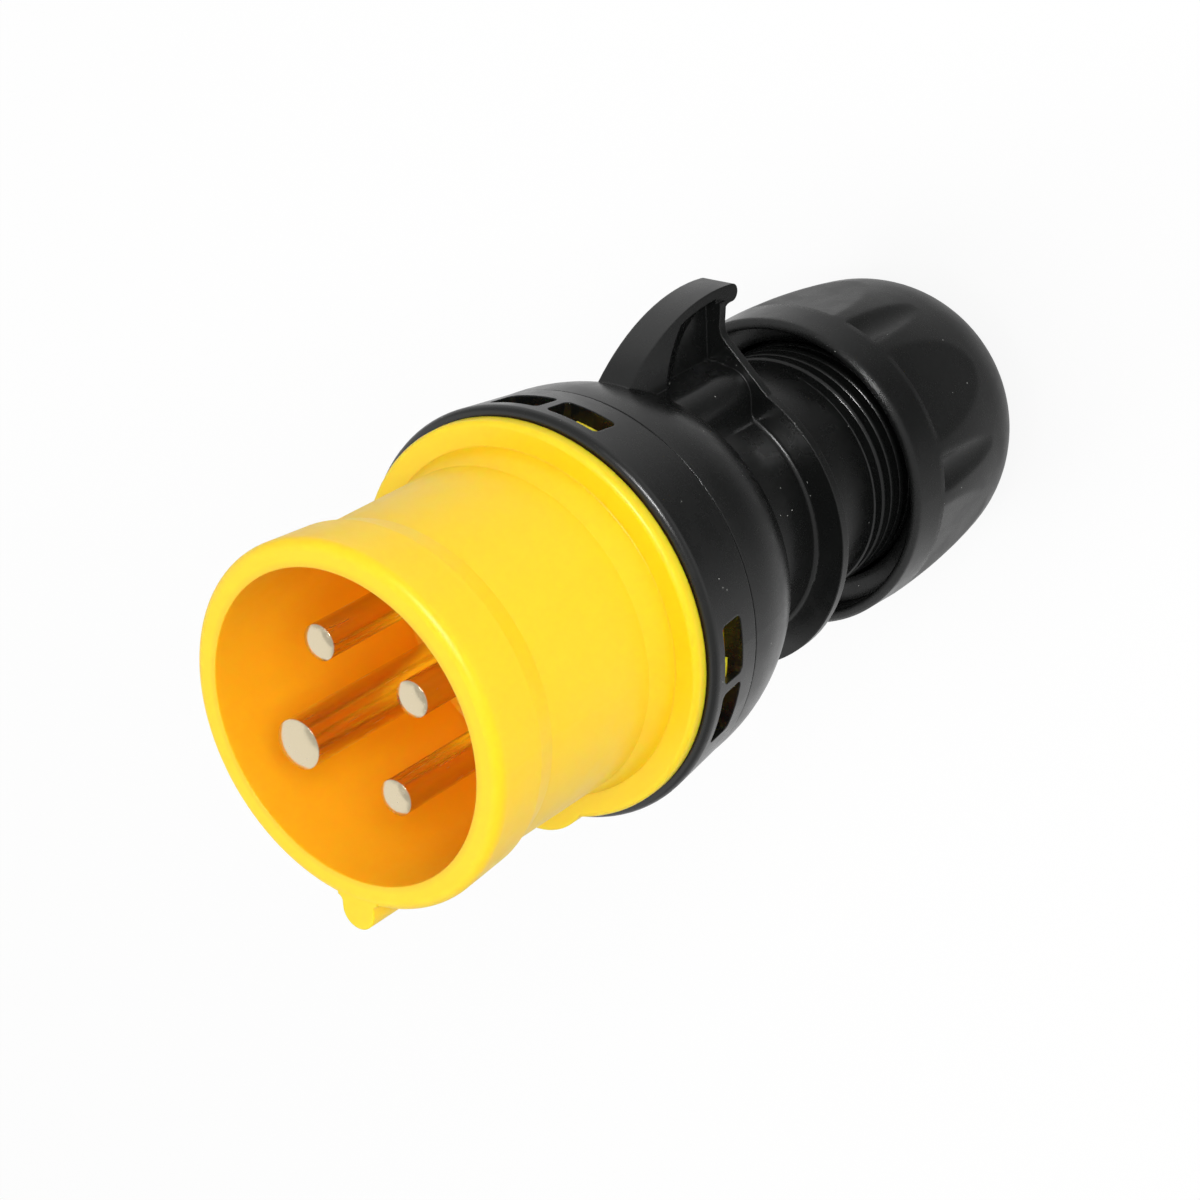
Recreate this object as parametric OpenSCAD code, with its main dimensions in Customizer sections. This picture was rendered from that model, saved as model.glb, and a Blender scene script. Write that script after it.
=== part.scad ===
// Locking power plug, 16 A, three phases and earth, bayonet-locked cable housing.
// Z runs from the cable entry (z = 0, flat end of the gland nut) to the open shroud;
// +Y is the thumb fin (twelve o'clock) and +X is three o'clock seen from the pins.

/* [Stations along the axis] */
// Length of the gland nut
nut_l = 40; // [38:1:44]
// Open neck between the grip plate and the nut mouth
nut_gap = 17.4; // [16:0.2:22]
// Thickness of the grip plate
plate_t = 1.4; // [1.2:0.1:2]
// Length of the grip waist
waist_l = 14.8; // [12:0.2:17]
// Length of the domed body
body_l = 14.4; // [14:0.2:18]
// Length of the bayonet ring
ring_l = 11.1; // [11:0.1:13]
// Gap left between pieces that turn on each other
turn_gap = 0.3; // [0.25:0.05:0.4]
// Thickness of the carrier flange
flange_t = 2; // [1.8:0.1:2.6]
// Length of the shroud in front of the flange
shroud_l = 36.6; // [34:0.2:40]

/* [Housing] */
// Wall of the bayonet ring outside the lug tracks
ring_wall = 1.7; // [1.5:0.1:2.4]
// How far the ring flares from its parting line to its front edge
ring_flare = 1.2; // [0.8:0.1:1.4]
// Radius at the rear edge of the domed body
body_rear_r = 24.2; // [23.8:0.1:25]
// Radius of the grip waist
waist_r = 18.5; // [18.4:0.1:19.4]
// Radius of the round part of the grip plate
plate_r = 23.1; // [22.5:0.1:24]
// Root radius of the neck thread
neck_r = 18; // [17.9:0.05:18.2]
// Wall of the domed body
wall = 2.4; // [2:0.1:2.6]

/* [Thumb fin] */
// Height of the fin above the axis
fin_h = 34.6; // [33.5:0.1:36]
// Width of the fin
fin_w = 5.2; // [4.6:0.1:5.8]
// Radius of the back of the fin, seen from the side
fin_arc_r = 31.5; // [30.5:0.5:33]
// Thickness of the web in the middle of the fin
fin_web_t = 1.6; // [1.2:0.1:2.4]
// Radius of the finger hollow in each side
fin_hollow_r = 10.2; // [9.8:0.1:10.6]
// Half width of the shoulder under the fin
shoulder_w = 8.1; // [7.5:0.1:9]

/* [Bayonet] */
// Radius of the carrier skirt
skirt_r = 25.6; // [25.2:0.1:25.8]
// Height of the bayonet lugs over the skirt
lug_h = 2; // [1.6:0.1:2.2]
// Turn that frees the bayonet, in degrees
twist = 20; // [16:1:22]
// Width of one lug, in degrees
lug_w = 10; // [8:0.5:11]
// Height of the windows along the axis
window_h = 4.9; // [4.6:0.1:5.4]
// Width of one window, in degrees
window_w = 16; // [14:0.5:17]

/* [Contacts] */
// Outer radius of the shroud at the rim
shroud_r = 25.15; // [24.9:0.05:25.4]
// Inner radius of the shroud at the rim
mouth_r = 21.6; // [21:0.1:21.9]
// Radius of the circle that the contacts stand on
pin_circle_r = 10.9; // [10.6:0.1:11.2]
// Radius of a phase contact
phase_r = 2.5; // [2.4:0.05:2.6]
// Radius of the earth contact
earth_r = 3.5; // [3.4:0.05:3.6]
// How far the phase contacts stand behind the rim
phase_set_back = 2.1; // [1.5:0.1:4]
// How far the earth contact stands behind the rim
earth_set_back = 0.6; // [0.3:0.1:1.4]

/* [Cable gland] */
// Outer radius of the nut at its mouth
nut_r = 23.8; // [23.6:0.1:24.5]
// Radius of the cable hole in the nut
cable_hole_r = 10.6; // [9.5:0.1:11]
// Radius of the hole through the rubber seal
seal_hole_r = 5.5; // [4:0.5:7]
// Number of broad grip flats round the nut
nut_flats = 6; // [5:1:8]
// Number of fingers on the clamp cage
cage_fingers = 8; // [6:1:10]

/* [Hidden] */
$fn = 96;

// Stations, counted up from the cable end
plate_z = nut_l + nut_gap;              // rear face of the grip plate
waist_z = plate_z + plate_t;            // front face of the grip plate
body_z = waist_z + waist_l;             // rear edge of the domed body
ring_z = body_z + body_l;               // parting line between dome and ring
ring_top = ring_z + ring_l;             // front face of the ring
flange_z = ring_top + turn_gap;         // rear face of the carrier flange
flange_top = flange_z + flange_t;
total_l = flange_top + shroud_l;

// Housing interior
fit = 0.05;                             // radial play of a close fit
ring_bore_r = skirt_r + 0.35;
bore_r = 15.8;                          // wire passage through the waist
seat_r = 16;                            // seat of the rubber seal
seat_lip_r = 12.5;
neck_end = 24.5;                        // rear end of the threaded neck
cavity_floor = body_z + wall;
seat_top = nut_l - 0.6;                 // lip that the rubber seal is pressed against
neck_thread_r = 18.9;                   // crest of the neck thread
track_bottom = ring_top - 7.1;
track_top = ring_top - 2.7;             // rear of the lip that holds the lugs
lug_r = skirt_r + lug_h;
track_r = lug_r + 0.3;
ring_r = track_r + ring_wall;           // front edge of the ring
body_front_r = ring_r - ring_flare;     // parting line between ring and dome
// The lugs and window pairs stand unevenly, so that the carrier enters only one way round
lug_at = [14.5, 97.5, 194.5, 277.5];
window_pair_at = [2, 98.5, 182, 278.5];
window_web = 3;                         // degrees left standing between two windows

// Contact positions as clock angles seen from the pins, with the key at six
phase_at = [330, 60, 150];
earth_at = 240;
screw_boss_at = [15, 195];
screw_boss_r = 9.6;                     // distance of the retainer screws from the axis

// Carrier interior
base_front = flange_z + 1.1;            // floor of the shroud
base_rear = flange_z - 2.9;
skirt_end = ring_z;
block_end = flange_z - 18.4;            // rear face of the terminal block
phase_barrel_r = phase_r + 1.5;
earth_barrel_r = earth_r + 1.1;
post_r = earth_barrel_r + 2;
barrel_wall = 1.9;                      // wall round the wire hole of a contact
phase_cap = 0.9;                        // height of the rounded end of a phase contact
earth_cap = 1.1;
collar = 0.4;                           // step of each contact where it passes the base
barrel_end = block_end + 0.3;
terminal_screw_z = block_end + 3.6;
terminal_screw_r = 1.9;
terminal_head_r = 2.6;
retainer_t = 2.2;
retainer_r = pin_circle_r + post_r + 1.1;
retainer_screw_r = 1.4;
seal_section_r = 0.85;                  // rubber ring of the carrier
seal_ring_z = skirt_end + 1.8;

// Gland
thread_top = nut_l - 5.8;               // front end of the nut's thread
thread_bottom = nut_l - 16;
nut_bore_r = neck_thread_r + 0.07;
nut_mouth_r = 22.2;
shoulder_z = 5;                         // inner shoulder of the nut
shoulder_r = 15.2;
cone_top_r = 17.6;
cone_l = 17;
cage_tip = 10.5;
ring_play = 0.35;                       // between the thrust ring and the nut's cone

// A point on a circle, by clock angle from twelve, clockwise seen from the pins
function clock(r, a) = [r * sin(a), r * cos(a)];

// Puts its children at a clock angle, with +Y pointing outwards
module at_clock(a) { rotate([0, 0, -a]) children(); }

// Fillet that fills the inner corner at p, towards +x and the sign of dir along y
module cove(p, r, dir) {
    translate(p) difference() {
        translate([-0.01, dir > 0 ? -0.01 : -r]) square([r + 0.01, r + 0.01]);
        translate([r, dir * r]) circle(r);
    }
}

// Rounded rectangle about the origin, with true arcs at its corners
module rounded_rect(w, h, r) {
    x = w / 2;
    y = h / 2;
    polygon([[r - x, -y], [x - r, -y], [x, r - y], [x, y - r], [x - r, y], [r - x, y], [-x, y - r],
             [-x, r - y]]);
    for (i = [-1, 1], j = [-1, 1]) translate([i * (x - r), j * (y - r)]) circle(r);
}

// Part of a ring between two clock angles, less than a half turn
module sector(r0, r1, a0, a1, z0, z1) {
    translate([0, 0, z0]) linear_extrude(z1 - z0) intersection() {
        difference() { circle(r1); circle(r0); }
        polygon([[0, 0], clock(2 * r1, a0), clock(2.3 * r1, (a0 + a1) / 2), clock(2 * r1, a1)]);
    }
}

// ---- Housing: black moulding of ring, dome, grip waist, fin and threaded neck ----

edge_r = 1.1;                           // rounding of the ring's front edge
groove_t = 0.15;                        // half height of the parting line between ring and dome

module housing_profile() {
    core_r = body_front_r - 0.6;        // bottom of the parting groove
    polygon([
        [0, neck_end], [neck_r - 0.6, neck_end], [neck_r, neck_end + 0.6],
        [neck_r, plate_z + 0.1], [waist_r, plate_z + 0.1], [waist_r, ring_z - 3],
        [core_r, ring_z - 3], [core_r, ring_z],
        [body_front_r, ring_z + groove_t], [ring_r, ring_top - edge_r],
        [ring_r - edge_r, ring_top], [0, ring_top]]);
    translate([ring_r - edge_r, ring_top - edge_r]) circle(edge_r);
    cove([waist_r, waist_z], 0.7, 1);
    cove([neck_r, plate_z], 1, -1);
}

// Domed body: a zone of the sphere that passes through both of its edges
dome_top_r = body_front_r - 0.1;
dome_top_z = ring_z - groove_t;
dome_centre_z = (pow(dome_top_r, 2) + pow(dome_top_z, 2) - pow(body_rear_r, 2) - pow(body_z, 2))
    / (2 * (dome_top_z - body_z));
dome_r = norm([dome_top_r, dome_top_z - dome_centre_z]);

module dome() {
    intersection() {
        translate([0, 0, dome_centre_z]) sphere(dome_r);
        translate([0, 0, body_z]) cylinder(r = 2 * dome_r, h = dome_top_z - body_z);
    }
}

// Round plate behind the waist; its flanks run out at 45 degrees into a tongue behind the fin
tongue_half_w = 3;
tongue_fillet = 3;
tongue_foot = plate_r - 4.3;            // height at which the flanks start inside the plate
flank = plate_r + 8.1;                  // x + y on the straight flanks
tongue_top = fin_h - 1.9;

module grip_plate() {
    cx = tongue_half_w + tongue_fillet;
    cy = flank + tongue_fillet * sqrt(2) - cx;
    bx = cx - tongue_fillet / sqrt(2);
    translate([0, 0, plate_z]) linear_extrude(plate_t) {
        circle(plate_r);
        polygon([[tongue_foot - flank, tongue_foot], [flank - tongue_foot, tongue_foot],
                 [bx, flank - bx], [-bx, flank - bx]]);
        difference() {
            translate([-bx, flank - bx - 0.01]) square([2 * bx, cy - flank + bx + 0.01]);
            for (x = [-1, 1]) translate([x * cx, cy]) circle(tongue_fillet);
        }
        polygon([[-tongue_half_w, cy - 0.01], [tongue_half_w, cy - 0.01],
                 [tongue_half_w + 0.3, tongue_top], [-tongue_half_w - 0.3, tongue_top]]);
    }
}

// Shoulder that carries the fin across the waist: its top runs round the axis
shoulder_top = 24.1;

module fin_shoulder() {
    corner_r = 4;
    fillet_r = 2;
    foot = 14;
    x = shoulder_w - corner_r;
    y = sqrt(pow(shoulder_top - corner_r, 2) - pow(x, 2));
    top = [x, y] * shoulder_top / (shoulder_top - corner_r);
    fx = shoulder_w + fillet_r;
    fy = sqrt(pow(waist_r - 0.03 + fillet_r, 2) - pow(fx, 2));
    side = [fx, fy] * waist_r / (waist_r + fillet_r);
    translate([0, 0, waist_z - plate_t / 2]) linear_extrude(waist_l + 4) {
        intersection() {
            circle(shoulder_top);
            polygon([[-shoulder_w, foot], [shoulder_w, foot], [shoulder_w, y], top, [top[0], top[1] + 3],
                     [-top[0], top[1] + 3], [-top[0], top[1]], [-shoulder_w, y]]);
        }
        for (i = [-1, 1]) {
            translate([i * x, y]) circle(corner_r);
            // fillet between the side of the shoulder and the waist
            difference() {
                polygon([[i * x, foot], [i * side[0], foot], [i * side[0], side[1]], [i * shoulder_w, fy],
                         [i * x, fy]]);
                translate([i * fx, fy]) circle(fillet_r);
            }
        }
    }
}

// Side view of the fin: x is the distance from the axis, y runs along the plug
fin_centre = [fin_h - fin_arc_r, waist_z];
fin_rear = plate_z;
fin_tip_r = 1.25;
fin_tip_z = plate_z - 3.75;             // rear end of the hooked tip
fin_hook_r = 1.9;                       // hollow under the hook
fin_tip = fin_centre + [sqrt(pow(fin_arc_r - fin_tip_r - 0.02, 2) - pow(waist_z - fin_tip_z - fin_tip_r, 2)),
                        fin_tip_z + fin_tip_r - waist_z];

module fin_side() {
    foot = 22;
    hook_x = fin_tip[0] - fin_tip_r;
    intersection() {
        translate(fin_centre) circle(fin_arc_r);
        union() {
            translate([foot, fin_rear]) square([20, 26]);
            translate([hook_x, fin_tip[1]]) square([20, fin_rear - fin_tip[1] + 1]);
        }
    }
    translate(fin_tip) circle(fin_tip_r);
    difference() {
        translate([hook_x - fin_hook_r, fin_rear - fin_hook_r])
            square([fin_hook_r + 0.5, fin_hook_r + 0.5]);
        translate([hook_x - fin_hook_r, fin_rear - fin_hook_r]) circle(fin_hook_r);
    }
}

// Finger hollows: flared cones on both sides of the web, open towards the dome
fin_hollow_at = [fin_h - 12.4, plate_z - 0.2];
fin_rim = 1.4;                          // lip left round the top of the fin
hollow_flare = 3.8;

module fin_hollows() {
    depth = (fin_w - fin_web_t) / 2;
    for (x = [-1, 1]) intersection() {
        translate([x * fin_web_t / 2, fin_hollow_at[0], fin_hollow_at[1]]) rotate([0, x * 90, 0])
            cylinder(r1 = fin_hollow_r, r2 = fin_hollow_r + 2 * hollow_flare, h = 2 * depth);
        translate([0, 0, waist_z]) linear_extrude(25) translate([-fin_w, 20]) square([2 * fin_w, 20]);
        rotate([90, 0, 90]) linear_extrude(4 * fin_w, center = true) translate(fin_centre)
            circle(fin_arc_r - fin_rim);
    }
}

module fin() {
    difference() {
        rotate([90, 0, 90]) linear_extrude(fin_w, center = true) fin_side();
        fin_hollows();
    }
}

// Turned hollow inside the housing, from the bayonet bore to the seal seat
module housing_bore() {
    rotate_extrude() polygon([
        [0, neck_end - 1], [seat_r, neck_end - 1], [seat_r, seat_top], [seat_lip_r, seat_top],
        [seat_lip_r, seat_top + 1.6], [bore_r, seat_top + 3.6], [bore_r, cavity_floor - 0.6],
        [bore_r + 0.6, cavity_floor], [body_rear_r - wall + 0.2, cavity_floor],
        [ring_bore_r, ring_z - 1.5], [ring_bore_r, ring_top + 1], [0, ring_top + 1]]);
}

// Track in which the lugs turn, and the slots by which they enter
module lug_tracks() {
    play = 1.2;
    for (a = lug_at) {
        sector(ring_bore_r - 1, track_r, a - lug_w / 2 - play, a + lug_w / 2 + twist + play,
               track_bottom, track_top);
        sector(ring_bore_r - 1, track_r, a + twist - lug_w / 2 - play, a + twist + lug_w / 2 + play,
               track_bottom, ring_top + 1);
    }
}

// Pairs of windows over the lugs
module lug_windows() {
    off = (window_w + window_web) / 2;
    width = 2 * ring_r * sin(window_w / 2);
    corner_r = 0.9;
    for (a = window_pair_at, side = [-1, 1]) at_clock(a + side * off)
        translate([0, ring_bore_r - 1, (track_bottom + track_top) / 2]) rotate([-90, 0, 0])
            linear_extrude(ring_r - ring_bore_r + 2) rounded_rect(width, window_h, corner_r);
}

module housing() {
    color("#1e2021") difference() {
        union() {
            rotate_extrude() housing_profile();
            dome();
            grip_plate();
            fin_shoulder();
            fin();
        }
        housing_bore();
        lug_tracks();
        lug_windows();
    }
}

// ---- Contact carrier: yellow moulding of shroud, flange, bayonet skirt and terminal block ----

band_l = 9;                             // raised band behind the rim
neck_in_r = shroud_r - 1.55;            // radius of the shroud behind that band
flange_r = shroud_r + 3.25;
lip_r = 1.4;

module shroud_profile() {
    rim = total_l;
    polygon([
        [0, base_rear], [skirt_r, base_rear], [skirt_r, flange_z], [flange_r, flange_z],
        [flange_r, flange_top - 0.8], [flange_r - 0.8, flange_top], [neck_in_r + 1.3, flange_top],
        [neck_in_r, flange_top + 4], [neck_in_r, rim - band_l - 3.4], [shroud_r - 0.55, rim - band_l],
        [shroud_r, rim - lip_r], [shroud_r - lip_r, rim], [0, rim]]);
    translate([shroud_r - lip_r, rim - lip_r]) circle(lip_r);
    translate([flange_r - 0.8, flange_top - 0.8]) circle(0.8);
}

// Key at six o'clock, and the round nub in line with it on the flange
key_l = 7.8;
key_r = 2.6;
key_h = 3.7;
key_fillet = 0.9;
nub_r = 9.5;
nub_h = 2.6;

module key_and_nub() {
    foot = key_r + key_fillet;
    foot_y = -sqrt(pow(shroud_r - 0.3 + key_fillet, 2) - pow(foot, 2));
    translate([0, 0, total_l - key_l - 0.1]) linear_extrude(key_l) {
        translate([0, -shroud_r - key_h + key_r]) circle(key_r);
        translate([-key_r, -shroud_r - key_h + key_r]) square([2 * key_r, key_h]);
        difference() {
            translate([-foot + 0.2, foot_y]) square([2 * foot - 0.4, 2]);
            for (x = [-1, 1]) translate([x * foot, foot_y]) circle(key_fillet);
        }
    }
    translate([0, -flange_r - nub_h + nub_r, flange_z]) cylinder(r = nub_r, h = flange_t);
}

module carrier_skirt() {
    difference() {
        translate([0, 0, skirt_end]) cylinder(r = skirt_r, h = base_rear - skirt_end + 1);
        translate([0, 0, skirt_end - 1]) cylinder(r = skirt_r - 2.6, h = base_rear - skirt_end + 1);
        // groove for the rubber ring
        translate([0, 0, seal_ring_z - 1.1]) difference() {
            cylinder(r = skirt_r + 1, h = 2.2);
            cylinder(r = skirt_r - 1.4, h = 2.2);
        }
    }
    lug_l = 2.6;
    for (a = lug_at)
        sector(skirt_r - 1, lug_r, a - lug_w / 2, a + lug_w / 2, track_top - turn_gap - lug_l,
               track_top - turn_gap);
}

// Posts round the terminals and bosses for the retainer screws
module terminal_block() {
    translate([0, 0, block_end]) {
        h = base_rear - block_end + 1;
        cylinder(r = 6, h = h);
        for (a = concat(phase_at, [earth_at])) translate(clock(pin_circle_r, a)) cylinder(r = post_r, h = h);
        for (a = screw_boss_at) translate(clock(screw_boss_r, a)) cylinder(r = 3.2, h = h);
    }
}

// Holes for one contact: pin, barrel and the way in for its screw
module contact_hole(a, pin_r, barrel_r) {
    translate(clock(pin_circle_r, a)) {
        translate([0, 0, base_rear - 1]) cylinder(r = pin_r + collar + fit, h = 8);
        translate([0, 0, block_end - 1]) cylinder(r = barrel_r + fit, h = base_rear - block_end + 1);
    }
    at_clock(a) translate([0, pin_circle_r, terminal_screw_z]) rotate([-90, 0, 0])
        cylinder(r = terminal_head_r + 0.3, h = 12);
}

module contact_carrier() {
    color("#fdd72d") difference() {
        union() {
            rotate_extrude() shroud_profile();
            key_and_nub();
            carrier_skirt();
            terminal_block();
        }
        // shroud interior, with a little draft
        rotate_extrude() {
            polygon([[0, base_front], [mouth_r - 0.9, base_front], [mouth_r - 0.4, base_front + 0.5],
                     [mouth_r, total_l], [mouth_r, total_l + 1], [0, total_l + 1]]);
        }
        for (a = phase_at) contact_hole(a, phase_r, phase_barrel_r);
        contact_hole(earth_at, earth_r, earth_barrel_r);
        for (a = screw_boss_at) translate(concat(clock(screw_boss_r, a), [block_end - 1]))
            cylinder(r = retainer_screw_r + fit, h = 10);
    }
}

// ---- Contacts: nickel-plated brass pins, each turned in one piece with its terminal barrel ----

module contact(a, pin_r, barrel_r, set_back, cap) {
    tip = total_l - set_back;
    cap_r = (pow(pin_r, 2) + pow(cap, 2)) / (2 * cap);
    translate(clock(pin_circle_r, a)) difference() {
        rotate_extrude() {
            polygon([[0, barrel_end], [barrel_r - 0.4, barrel_end], [barrel_r, barrel_end + 0.4],
                     [barrel_r, base_rear - 0.4], [barrel_r - 0.4, base_rear],
                     [pin_r + collar, base_rear], [pin_r + collar, base_front], [pin_r, base_front],
                     [pin_r, tip - cap], [0, tip - cap]]);
            intersection() {
                translate([0, tip - cap_r]) circle(cap_r);
                translate([0, tip - 1.5 * cap]) square([pin_r, 2 * cap]);
            }
        }
        translate([0, 0, barrel_end - 1]) cylinder(r = barrel_r - barrel_wall, h = 12);
        rotate([0, 0, -a]) translate([0, 0, terminal_screw_z]) rotate([-90, 0, 0])
            cylinder(r = terminal_screw_r + fit, h = barrel_r + 1);
    }
}

module pin_phase(i) {
    color("#c9c4ba") contact(phase_at[i], phase_r, phase_barrel_r, phase_set_back, phase_cap);
}

module pin_earth() {
    color("#c9c4ba") contact(earth_at, earth_r, earth_barrel_r, earth_set_back, earth_cap);
}

// Slotted screw along +Z, its head seated at z = 0
module slotted_screw(shank_r, shank_l, head_r, head_h) {
    difference() {
        union() {
            translate([0, 0, -shank_l]) cylinder(r = shank_r, h = shank_l + 0.5);
            cylinder(r = head_r, h = head_h);
        }
        translate([-head_r - 1, -0.45, head_h - 0.9]) cube([2 * head_r + 2, 0.9, 2]);
    }
}

module terminal_screws() {
    color("#b9b6b0") for (i = [0 : 3]) {
        a = i < 3 ? phase_at[i] : earth_at;
        barrel_r = i < 3 ? phase_barrel_r : earth_barrel_r;
        at_clock(a) translate([0, pin_circle_r + barrel_r + 0.1, terminal_screw_z]) rotate([-90, 0, 0])
            slotted_screw(terminal_screw_r, 2.6, terminal_head_r, 1.8);
    }
}

// Plate that keeps the contacts in the block
module pin_retainer() {
    color("#2b2d2e") difference() {
        translate([0, 0, block_end - retainer_t]) cylinder(r = retainer_r, h = retainer_t);
        for (a = concat(phase_at, [earth_at]))
            translate(concat(clock(pin_circle_r, a), [block_end - retainer_t - 1]))
                cylinder(r = 3.2, h = retainer_t + 2);
        for (a = screw_boss_at)
            translate(concat(clock(screw_boss_r, a), [block_end - retainer_t - 1]))
                cylinder(r = retainer_screw_r + 0.2, h = retainer_t + 2);
    }
}

module retainer_screws() {
    color("#b9b6b0") for (a = screw_boss_at)
        translate(concat(clock(screw_boss_r, a), [block_end - retainer_t])) rotate([180, 0, 0])
            slotted_screw(retainer_screw_r, 9.5, 2.6, 1.7);
}

// Rubber ring between the skirt and the bayonet ring's bore
module carrier_seal() {
    color("#151515") translate([0, 0, seal_ring_z]) rotate_extrude()
        translate([skirt_r - 1.4 + seal_section_r, 0]) circle(seal_section_r);
}

// ---- Cable gland ----

// Rubber seal with stepped rings that are peeled out to suit the cable
module cable_seal() {
    seal_top = seat_top - 0.1;
    seal_bottom = neck_end + 3.7;
    outer = seat_r - fit;
    color("#262626") rotate_extrude() difference() {
        polygon([[seal_hole_r + 1, seal_bottom], [outer - 1, seal_bottom], [outer, seal_bottom + 1],
                 [outer, seal_top - 1], [outer - 1, seal_top], [seal_hole_r + 1, seal_top],
                 [seal_hole_r, seal_top - 1.5], [seal_hole_r, seal_bottom + 1.5]]);
        for (r = [seal_hole_r + 3.2, seal_hole_r + 6.2], z = [seal_bottom, seal_top])
            translate([r, z]) square([0.8, 3], center = true);
    }
}

// Slotted cage: a ring in the neck's mouth, and fingers that close on the cable
module clamp_cage() {
    flange_bottom = neck_end - 1.6;
    color("#d9d5c8") difference() {
        rotate_extrude() polygon([
            [11.3, cage_tip + 0.6], [11.8, cage_tip], [13.2, cage_tip], [14.6, flange_bottom - 1],
            [17.4, flange_bottom - 0.2], [17.4, neck_end], [seat_r - fit, neck_end],
            [seat_r - fit, neck_end + 3.2], [12.4, neck_end + 3.2], [12.2, flange_bottom]]);
        slot_w = 2.2;
        for (i = [0 : cage_fingers - 1]) rotate([0, 0, (i + 0.5) * 360 / cage_fingers])
            translate([-slot_w / 2, 9, cage_tip - 1]) cube([slot_w, 8, flange_bottom - 2.4 - cage_tip]);
    }
}

// Slip ring: moves along with the nut but doesn't turn with it
module thrust_ring() {
    bottom = shoulder_z;
    top = shoulder_z + 6.5;
    slope = (cone_top_r - shoulder_r) / cone_l;
    outer = shoulder_r - ring_play;
    color("#e6e2d6") rotate_extrude() polygon([
        [12, bottom], [outer, bottom], [outer + slope * (top - bottom), top],
        [outer + slope * (top - bottom) - 0.7, top], [12.2, bottom + 1]]);
}

// Outside of the nut: mouth band, then a long curve that runs into a round shoulder
nut_band_l = 7;
nut_long_r = 120;
nut_end_r = 20;
nut_tangent_z = 14;

module nut_profile() {
    band_z = nut_l - nut_band_l;
    crown = [nut_r + 0.2 - nut_long_r, band_z + 1];
    tangent = [crown[0] + sqrt(pow(nut_long_r, 2) - pow(nut_tangent_z - crown[1], 2)), nut_tangent_z];
    turn = tangent + (crown - tangent) * nut_end_r / nut_long_r;
    intersection() {
        translate(crown) circle(nut_long_r, $fn = 360);
        translate([0, nut_tangent_z]) square([nut_r + 1, band_z - nut_tangent_z]);
    }
    intersection() {
        translate(turn) circle(nut_end_r);
        square([nut_r + 1, nut_tangent_z]);
    }
    polygon([[0, band_z - 0.5], [nut_r + 0.2, band_z - 0.5], [nut_r + 0.2, band_z + 0.3],
             [nut_r, nut_l - 0.5], [nut_r - 0.5, nut_l], [0, nut_l]]);
}

// Broad flats, and between them narrow scoops; both start square at the band and run out
flat_depth = 1.2;
flat_tilt = 0.6;
scoop_r = 4;
scoop_l = 30;
scoop_depth = 1.3;
scoop_tilt = 0.4;
scoop_first_at = 24;

module nut_grips() {
    band_z = nut_l - nut_band_l;
    crown_r = nut_r + 0.2;
    pitch = 360 / nut_flats;
    for (i = [0 : nut_flats - 1]) {
        at_clock(scoop_first_at + pitch * (i + 0.5)) translate([0, crown_r - flat_depth, band_z])
            rotate([-flat_tilt, 0, 0]) translate([-12, 0, -50]) cube([24, 10, 50]);
        at_clock(scoop_first_at + pitch * i)
            translate([0, crown_r - scoop_depth + scoop_r, band_z]) rotate([-scoop_tilt, 0, 0])
                translate([0, 0, -scoop_l]) cylinder(r1 = scoop_r - 0.4, r2 = scoop_r, h = scoop_l);
    }
}

module gland_nut() {
    color("#1e2021") difference() {
        rotate_extrude() nut_profile();
        nut_grips();
        rotate_extrude() polygon([
            [0, -1], [cable_hole_r, -1], [cable_hole_r, shoulder_z], [shoulder_r, shoulder_z],
            [cone_top_r, shoulder_z + cone_l],
            [nut_bore_r + 0.5, thread_bottom - 1.4], [nut_bore_r + 0.5, thread_bottom],
            [nut_bore_r, thread_bottom], [nut_bore_r, thread_top], [nut_mouth_r, thread_top + 0.6],
            [nut_mouth_r, nut_l - 0.4], [nut_mouth_r + 0.4, nut_l], [nut_mouth_r + 0.4, nut_l + 1],
            [0, nut_l + 1]]);
    }
}

contact_carrier();
pin_phase(0);  // pin_phase_1
pin_phase(1);  // pin_phase_2
pin_phase(2);  // pin_phase_3
pin_earth();
terminal_screws();
pin_retainer();
retainer_screws();
carrier_seal();
housing();
cable_seal();
clamp_cage();
thrust_ring();
gland_nut();
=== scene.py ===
import math

import bmesh
import bpy
from mathutils import Matrix, Vector


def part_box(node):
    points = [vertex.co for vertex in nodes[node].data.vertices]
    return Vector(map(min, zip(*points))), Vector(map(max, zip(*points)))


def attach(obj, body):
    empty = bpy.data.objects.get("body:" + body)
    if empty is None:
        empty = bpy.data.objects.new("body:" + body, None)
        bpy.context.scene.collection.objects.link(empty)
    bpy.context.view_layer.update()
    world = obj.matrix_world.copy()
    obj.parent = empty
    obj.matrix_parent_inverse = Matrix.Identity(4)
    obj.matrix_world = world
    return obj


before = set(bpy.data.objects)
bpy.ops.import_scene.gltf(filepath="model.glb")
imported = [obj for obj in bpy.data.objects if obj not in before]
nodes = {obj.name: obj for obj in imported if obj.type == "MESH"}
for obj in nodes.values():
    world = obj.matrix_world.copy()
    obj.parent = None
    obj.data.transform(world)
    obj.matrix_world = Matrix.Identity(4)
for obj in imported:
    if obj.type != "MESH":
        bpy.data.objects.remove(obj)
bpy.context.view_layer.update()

scene = bpy.context.scene
mm = 0.001


# Contact carrier -------------------------------------------------------------------------
# Shroud, flange, bayonet skirt and terminal block are one injection moulding in yellow
# polyamide. The mould was blasted, so the skin is satin, with soft rounded edges.

def linear(code):
    """An sRGB hex code as linear red, green, blue and alpha."""
    parts = [int(code[i:i + 2], 16) / 255 for i in (1, 3, 5)]
    return [c / 12.92 if c <= 0.04045 else ((c + 0.055) / 1.055) ** 2.4 for c in parts] + [1]


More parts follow.
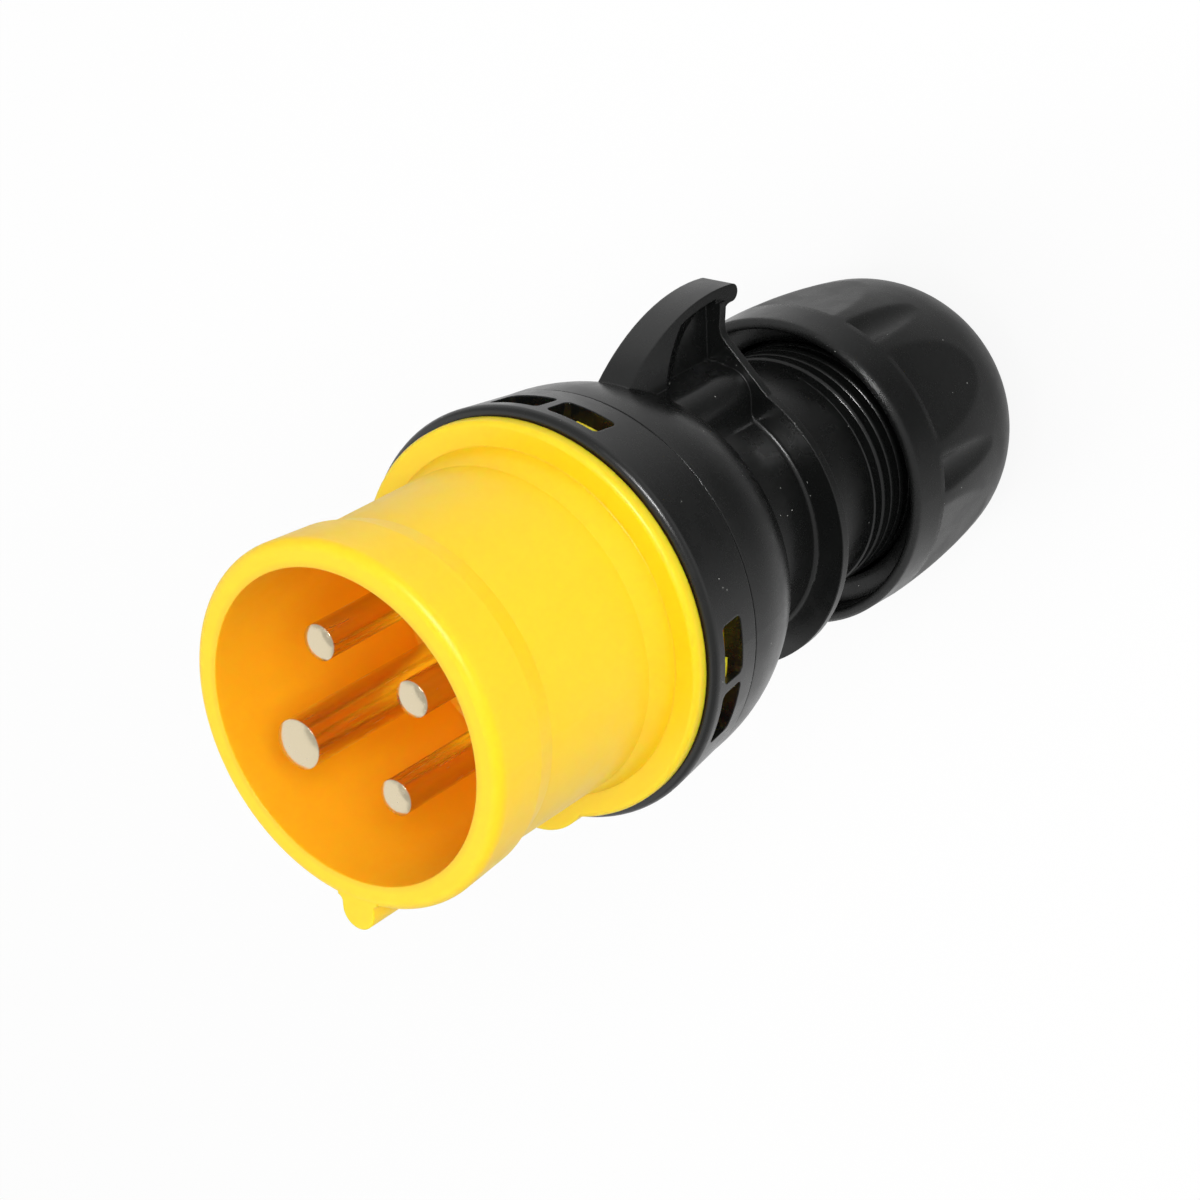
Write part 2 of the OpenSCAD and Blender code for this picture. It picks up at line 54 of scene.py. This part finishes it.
def add_node(tree, kind, settings=None, **inputs):
    """Adds a node. Each input is set to its value, or linked when the value is a socket."""
    made = tree.nodes.new(kind)
    for name, value in (settings or {}).items():
        setattr(made, name, value)
    for name, value in inputs.items():
        socket = made.inputs[int(name[1:])] if name[1:].isdigit() else made.inputs[name.replace("_", " ")]
        if isinstance(value, bpy.types.NodeSocket):
            tree.links.new(value, socket)
        else:
            socket.default_value = value
    return made


def new_material(name):
    """An empty node material, and its tree."""
    material = bpy.data.materials.new(name)
    material.use_nodes = True
    material.node_tree.nodes.clear()
    return material, material.node_tree


def finish_cad(material, *names):
    """Puts one material on whole CAD nodes."""
    for name in names:
        slots = nodes[name].data.materials
        slots.clear()
        slots.append(material)


yellow, tree = new_material("yellow moulded polyamide")
place = add_node(tree, "ShaderNodeTexCoord").outputs["Object"]
# flow marks of the melt: clouds about 14 mm across, a touch deeper and a touch paler
clouds = add_node(tree, "ShaderNodeTexNoise", Vector=place, Scale=70.0, Detail=3.0, Roughness=0.5)
outside = add_node(tree, "ShaderNodeMix", {"data_type": "RGBA"}, _0=clouds.outputs["Fac"],
                   _6=linear("#FDCD12"), _7=linear("#FDD018"))
# painted bounce light: inside the bore of the shroud, 21.6 mm in radius, the yellow is painted deeper and
# more orange, standing in for the light that bounces round inside the shroud
across = add_node(tree, "ShaderNodeVectorMath", {"operation": "MULTIPLY"}, _0=place, _1=(1, 1, 0))
radius = add_node(tree, "ShaderNodeVectorMath", {"operation": "LENGTH"}, _0=across.outputs["Vector"])
painted_bounce_fade = add_node(tree, "ShaderNodeMapRange", Value=radius.outputs["Value"], From_Min=21.5 * mm,
                     From_Max=22.6 * mm)
colour = add_node(tree, "ShaderNodeMix", {"data_type": "RGBA"}, _0=painted_bounce_fade.outputs["Result"],
                  _6=linear("#FCBA1C"), _7=outside.outputs[2])
# scuffs from handling: patches 3 mm across that shine a little more
scuffs = add_node(tree, "ShaderNodeTexNoise", Vector=place, Scale=330.0, Detail=4.0, Roughness=0.6)
shine = add_node(tree, "ShaderNodeMapRange", Value=scuffs.outputs["Fac"], From_Min=0.35, From_Max=0.7,
                 To_Min=0.36, To_Max=0.46)
# blasted skin: grains 0.25 mm across
grain = add_node(tree, "ShaderNodeTexNoise", Vector=place, Scale=4000.0, Detail=2.0)
rounded = add_node(tree, "ShaderNodeBevel", {"samples": 6}, Radius=0.35 * mm)
skin = add_node(tree, "ShaderNodeBump", Strength=0.06, Distance=0.02 * mm, Height=grain.outputs["Fac"],
                Normal=rounded.outputs["Normal"])
# light enters the moulding by about 5 mm, and what comes back is more orange than the skin
surface = add_node(tree, "ShaderNodeBsdfPrincipled", Base_Color=colour.outputs[2],
                   Roughness=shine.outputs["Result"], IOR=1.53, Specular_IOR_Level=0.4,
                   Subsurface_Weight=0.6, Subsurface_Radius=(1.0, 0.35, 0.06), Subsurface_Scale=5 * mm,
                   Normal=skin.outputs["Normal"])
add_node(tree, "ShaderNodeOutputMaterial", Surface=surface.outputs["BSDF"])
finish_cad(yellow, "contact_carrier")


# Contacts --------------------------------------------------------------------------------
# Each contact is turned from brass bar in one piece with its terminal barrel, and then
# nickel plated. The turning leaves fine rings, and the plating is a warm silver.

plated, tree = new_material("nickel plated turned brass")
place = add_node(tree, "ShaderNodeTexCoord").outputs["Object"]
# turning rings: one every 0.15 mm along the contact
rings = add_node(tree, "ShaderNodeTexWave", {"bands_direction": "Z"}, Vector=place, Scale=330.0,
                 Distortion=0.4, Detail=1.0)
# long wear streaks from the sleeves of sockets, 0.4 mm wide and 10 mm long
along = add_node(tree, "ShaderNodeMapping", Vector=place, Scale=(2500.0, 2500.0, 100.0))
streaks = add_node(tree, "ShaderNodeTexNoise", Vector=along.outputs["Vector"], Scale=1.0, Detail=3.0)
shine = add_node(tree, "ShaderNodeMapRange", Value=streaks.outputs["Fac"], From_Min=0.3, From_Max=0.75,
                 To_Min=0.14, To_Max=0.3)
rounded = add_node(tree, "ShaderNodeBevel", {"samples": 4}, Radius=0.2 * mm)
skin = add_node(tree, "ShaderNodeBump", Strength=0.12, Distance=0.004 * mm, Height=rings.outputs["Fac"],
                Normal=rounded.outputs["Normal"])
surface = add_node(tree, "ShaderNodeBsdfPrincipled", Base_Color=linear("#DED0B2"), Metallic=1.0,
                   Roughness=shine.outputs["Result"], Normal=skin.outputs["Normal"])
add_node(tree, "ShaderNodeOutputMaterial", Surface=surface.outputs["BSDF"])
finish_cad(plated, "pin_phase_1", "pin_phase_2", "pin_phase_3", "pin_earth")


# Screws ----------------------------------------------------------------------------------
# Terminal and retainer screws are cold-headed steel, zinc plated to a dull silver.

zinc, tree = new_material("zinc plated steel")
place = add_node(tree, "ShaderNodeTexCoord").outputs["Object"]
bloom = add_node(tree, "ShaderNodeTexNoise", Vector=place, Scale=1500.0, Detail=4.0)
shine = add_node(tree, "ShaderNodeMapRange", Value=bloom.outputs["Fac"], To_Min=0.25, To_Max=0.45)
rounded = add_node(tree, "ShaderNodeBevel", {"samples": 4}, Radius=0.12 * mm)
surface = add_node(tree, "ShaderNodeBsdfPrincipled", Base_Color=linear("#C6C4BE"), Metallic=1.0,
                   Roughness=shine.outputs["Result"], Normal=rounded.outputs["Normal"])
add_node(tree, "ShaderNodeOutputMaterial", Surface=surface.outputs["BSDF"])
finish_cad(zinc, "terminal_screws", "retainer_screws")


# Housing and gland nut -------------------------------------------------------------------
# Both are injection mouldings in black polyamide. The skin is satin and finely grained, its
# edges shine where they are rubbed, and pale dust clings to it.

black, tree = new_material("black moulded polyamide")
place = add_node(tree, "ShaderNodeTexCoord").outputs["Object"]
clouds = add_node(tree, "ShaderNodeTexNoise", Vector=place, Scale=110.0, Detail=3.0)
body_colour = add_node(tree, "ShaderNodeMix", {"data_type": "RGBA"}, _0=clouds.outputs["Fac"],
                       _6=linear("#0D0E0E"), _7=linear("#131413"))
# dust: specks 0.15 mm across, in the few cells of a 2 mm grid that draw a high number
cells = add_node(tree, "ShaderNodeTexVoronoi", Vector=place, Scale=500.0)
speck = add_node(tree, "ShaderNodeMath", {"operation": "LESS_THAN"}, _0=cells.outputs["Distance"], _1=0.04)
drawn = add_node(tree, "ShaderNodeSeparateColor", Color=cells.outputs["Color"])
few = add_node(tree, "ShaderNodeMath", {"operation": "GREATER_THAN"}, _0=drawn.outputs["Red"], _1=0.6)
dust = add_node(tree, "ShaderNodeMath", {"operation": "MULTIPLY"}, _0=speck.outputs["Value"],
                _1=few.outputs["Value"])
colour = add_node(tree, "ShaderNodeMix", {"data_type": "RGBA"}, _0=dust.outputs["Value"],
                  _6=body_colour.outputs[2], _7=linear("#B8B8B4"))
scuffs = add_node(tree, "ShaderNodeTexNoise", Vector=place, Scale=260.0, Detail=4.0, Roughness=0.6)
shine = add_node(tree, "ShaderNodeMapRange", Value=scuffs.outputs["Fac"], From_Min=0.3, From_Max=0.7,
                 To_Min=0.22, To_Max=0.33)
grain = add_node(tree, "ShaderNodeTexNoise", Vector=place, Scale=3600.0, Detail=2.0)
rounded = add_node(tree, "ShaderNodeBevel", {"samples": 6}, Radius=0.3 * mm)
skin = add_node(tree, "ShaderNodeBump", Strength=0.12, Distance=0.03 * mm, Height=grain.outputs["Fac"],
                Normal=rounded.outputs["Normal"])
surface = add_node(tree, "ShaderNodeBsdfPrincipled", Base_Color=colour.outputs[2],
                   Roughness=shine.outputs["Result"], IOR=1.53, Specular_IOR_Level=0.45,
                   Normal=skin.outputs["Normal"])
add_node(tree, "ShaderNodeOutputMaterial", Surface=surface.outputs["BSDF"])
finish_cad(black, "housing")

# the nut's flats run softly into its cone, so its edges are rounded five times as far
black_nut = black.copy()
black_nut.name = "black moulded polyamide with soft edges"
for node in black_nut.node_tree.nodes:
    if node.type == "BEVEL":
        node.inputs["Radius"].default_value = 1.5 * mm
finish_cad(black_nut, "gland_nut")


# Thread of the neck ----------------------------------------------------------------------
# The gland nut runs on a coarse thread. It is moulded with the housing, so it is the same
# black polyamide, and it sinks into the plain part of the neck behind the fin.

neck_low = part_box("housing")[0].z
root_r = 18.0 * mm
crest_r = 18.35 * mm
sunk_r = root_r - 0.2 * mm      # the foot of the rib lies this deep in the neck
foot_w = 1.2 * mm
root_w = 1.0 * mm
crest_w = 0.2 * mm
start = neck_low + 1.2 * mm
pitch = 2.4 * mm
turns = 7.4
steps = 60                      # of one turn
run_out = 0.9 * pitch
hidden_r = root_r - 0.3 * mm    # the rib's end is this deep in the neck

bm = bmesh.new()
half_rib = [(sunk_r, foot_w / 2), (root_r, root_w / 2), (crest_r, crest_w / 2)]
section = [(r, -half_w) for r, half_w in half_rib] + half_rib[::-1]
corners = [bm.verts.new((r, 0, start + z)) for r, z in section]
edges = [bm.edges.new((a, b)) for a, b in zip(corners, corners[1:] + corners[:1])]
bmesh.ops.contextual_create(bm, geom=edges)
bmesh.ops.spin(bm, geom=list(bm.verts) + list(bm.edges) + list(bm.faces), cent=(0, 0, 0), axis=(0, 0, 1),
               dvec=(0, 0, pitch / steps), angle=2 * math.pi * turns, steps=round(steps * turns))
# over the run-out the whole rib sinks into the neck
top = max(v.co.z for v in bm.verts)
for v in bm.verts:
    share = min(1, (top - v.co.z) / run_out)
    radius = math.hypot(v.co.x, v.co.y)
    scale = (hidden_r + (radius - hidden_r) * share) / radius
    v.co.x *= scale
    v.co.y *= scale
bmesh.ops.recalc_face_normals(bm, faces=bm.faces)

thread_mesh = bpy.data.meshes.new("neck_thread")
bm.to_mesh(thread_mesh)
bm.free()
for face in thread_mesh.polygons:
    face.use_smooth = True
thread_mesh.materials.append(black)
thread = bpy.data.objects.new("neck_thread", thread_mesh)
scene.collection.objects.link(thread)
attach(thread, "housing")


# Gland inside ----------------------------------------------------------------------------
# Inside the nut sit a clamp cage and a slip ring, moulded in natural nylon, and a rubber
# seal. The carrier's ring in the bayonet bore is of the same black rubber.

natural, tree = new_material("natural nylon")
place = add_node(tree, "ShaderNodeTexCoord").outputs["Object"]
clouds = add_node(tree, "ShaderNodeTexNoise", Vector=place, Scale=160.0, Detail=3.0)
colour = add_node(tree, "ShaderNodeMix", {"data_type": "RGBA"}, _0=clouds.outputs["Fac"],
                  _6=linear("#DCD6C4"), _7=linear("#E6E1D2"))
rounded = add_node(tree, "ShaderNodeBevel", {"samples": 4}, Radius=0.25 * mm)
surface = add_node(tree, "ShaderNodeBsdfPrincipled", Base_Color=colour.outputs[2], Roughness=0.4, IOR=1.53,
                   Normal=rounded.outputs["Normal"])
add_node(tree, "ShaderNodeOutputMaterial", Surface=surface.outputs["BSDF"])
finish_cad(natural, "clamp_cage", "thrust_ring")

rubber, tree = new_material("matt black rubber")
place = add_node(tree, "ShaderNodeTexCoord").outputs["Object"]
bloom = add_node(tree, "ShaderNodeTexNoise", Vector=place, Scale=400.0, Detail=4.0)
colour = add_node(tree, "ShaderNodeMix", {"data_type": "RGBA"}, _0=bloom.outputs["Fac"],
                  _6=linear("#1C1C1C"), _7=linear("#2A2A29"))
rounded = add_node(tree, "ShaderNodeBevel", {"samples": 4}, Radius=0.3 * mm)
surface = add_node(tree, "ShaderNodeBsdfPrincipled", Base_Color=colour.outputs[2], Roughness=0.75, IOR=1.52,
                   Normal=rounded.outputs["Normal"])
add_node(tree, "ShaderNodeOutputMaterial", Surface=surface.outputs["BSDF"])
finish_cad(rubber, "cable_seal", "carrier_seal")


# Retainer plate --------------------------------------------------------------------------
# The plate behind the contacts is a small moulding in grey black nylon, held by two screws.
# Its coarse grain keeps it matt.

retainer, tree = new_material("matt grey black nylon")
place = add_node(tree, "ShaderNodeTexCoord").outputs["Object"]
grain = add_node(tree, "ShaderNodeTexNoise", Vector=place, Scale=2500.0, Detail=2.0)
rounded = add_node(tree, "ShaderNodeBevel", {"samples": 4}, Radius=0.25 * mm)
skin = add_node(tree, "ShaderNodeBump", Strength=0.2, Distance=0.03 * mm, Height=grain.outputs["Fac"],
                Normal=rounded.outputs["Normal"])
surface = add_node(tree, "ShaderNodeBsdfPrincipled", Base_Color=linear("#2B2D2E"), Roughness=0.55, IOR=1.53,
                   Normal=skin.outputs["Normal"])
add_node(tree, "ShaderNodeOutputMaterial", Surface=surface.outputs["BSDF"])
finish_cad(retainer, "pin_retainer")


# Floor, light and camera -----------------------------------------------------------------
# The plug stands on the flat end of its nut, on a plain white floor in soft light. The
# camera looks down into the shroud, with the thumb fin at the top of the picture.

bm = bmesh.new()
bmesh.ops.create_grid(bm, x_segments=1, y_segments=1, size=4.0)
floor_mesh = bpy.data.meshes.new("floor")
bm.to_mesh(floor_mesh)
bm.free()
floor = bpy.data.objects.new("floor", floor_mesh)
scene.collection.objects.link(floor)

paper, tree = new_material("white paper floor")
seen = add_node(tree, "ShaderNodeLightPath")
shown = add_node(tree, "ShaderNodeMath", {"operation": "MAXIMUM"}, _0=seen.outputs["Is Camera Ray"],
                 _1=seen.outputs["Is Transmission Ray"])
share = add_node(tree, "ShaderNodeMath", {"operation": "MULTIPLY_ADD"}, _0=shown.outputs["Value"], _1=0.87)
tree.links.new(seen.outputs["Is Glossy Ray"], share.inputs[2])
# shiny black surfaces mirror the paper, and in what they mirror a painted shade dims it in front of the
# plug, round a point at (55, 42) mm; it is bright all round
painted_shade_place = add_node(tree, "ShaderNodeTexCoord").outputs["Object"]
from_painted_shade = add_node(tree, "ShaderNodeVectorMath", {"operation": "DISTANCE"}, _0=painted_shade_place,
                _1=(55 * mm, 42 * mm, 0))
mirrored = add_node(tree, "ShaderNodeMapRange", Value=from_painted_shade.outputs["Value"], From_Min=20 * mm,
                    From_Max=110 * mm, To_Min=0.12, To_Max=0.85)
glow_with_painted_shade = add_node(tree, "ShaderNodeMix", {"data_type": "FLOAT"}, _0=seen.outputs["Is Glossy Ray"], _2=1.0,
                _3=mirrored.outputs["Result"])
matt = add_node(tree, "ShaderNodeBsdfDiffuse", Color=linear("#F4F4F4"))
white = add_node(tree, "ShaderNodeEmission", Color=linear("#FFFFFF"), Strength=glow_with_painted_shade.outputs[0])
both = add_node(tree, "ShaderNodeMixShader", _0=share.outputs["Value"], _1=matt.outputs["BSDF"],
                _2=white.outputs["Emission"])
add_node(tree, "ShaderNodeOutputMaterial", Surface=both.outputs["Shader"])
floor_mesh.materials.append(paper)

world = bpy.data.worlds.new("studio")
scene.world = world
world.use_nodes = True
tree = world.node_tree
tree.nodes.clear()
seen = add_node(tree, "ShaderNodeLightPath")
level = add_node(tree, "ShaderNodeMapRange", Value=seen.outputs["Is Camera Ray"], To_Min=0.55, To_Max=1.0)
sky = add_node(tree, "ShaderNodeBackground", Color=linear("#FFFFFF"), Strength=level.outputs["Result"])
add_node(tree, "ShaderNodeOutputWorld", Surface=sky.outputs["Background"])


def soft_box(name, place_mm, aim_mm, size_mm, watts, mirrored):
    """A square area lamp that faces its aim. One that is mirrored shows in shiny surfaces only."""
    lamp = bpy.data.lights.new(name, "AREA")
    lamp.size = size_mm * mm
    lamp.energy = watts
    piece = bpy.data.objects.new(name, lamp)
    scene.collection.objects.link(piece)
    piece.location = Vector(place_mm) * mm
    piece.rotation_euler = (Vector(aim_mm) - Vector(place_mm)).to_track_quat("-Z", "Y").to_euler()
    piece.visible_glossy = mirrored
    piece.visible_diffuse = not mirrored


soft_box("front", (450, 330, 560), (0, 0, 80), 400, 3.4, False)
soft_box("top", (60, 40, 900), (0, 0, 110), 300, 1.0, False)
soft_box("mouth fill", (-300, -220, 760), (0, 0, 110), 300, 1.0, False)
soft_box("mouth panel", (-420, -310, 660), (0, 0, 120), 1700, 4.2, True)
soft_box("sparkle", (260, 420, 560), (0, 0, 80), 60, 3.0, True)

# a narrow beam from straight above lights the depth of the shroud
beam = bpy.data.lights.new("mouth beam", "SPOT")
beam.energy = 12
beam.spot_size = math.radians(3.8)
beam.spot_blend = 0.5
beam.shadow_soft_size = 6 * mm
beam_piece = bpy.data.objects.new("mouth beam", beam)
scene.collection.objects.link(beam_piece)
beam_piece.location = (0, 0, 700 * mm)
beam_piece.visible_glossy = False

camera = bpy.data.cameras.new("camera")
camera.sensor_width = 36
camera.lens = 90.1
camera.clip_start = 10 * mm
camera.clip_end = 20
view = bpy.data.objects.new("camera", camera)
scene.collection.objects.link(view)
camera_at = Vector((232.5, 168.8, 380.8)) * mm
forward = Vector((-0.5618, -0.4153, -0.7155)).normalized()
up = Vector((-0.2191, 0.9087, -0.3553))
right = forward.cross(up).normalized()
up = right.cross(forward)
view.matrix_world = Matrix.Translation(camera_at) @ Matrix((right, up, -forward)).transposed().to_4x4()
scene.camera = view
scene.view_settings.view_transform = "Standard"
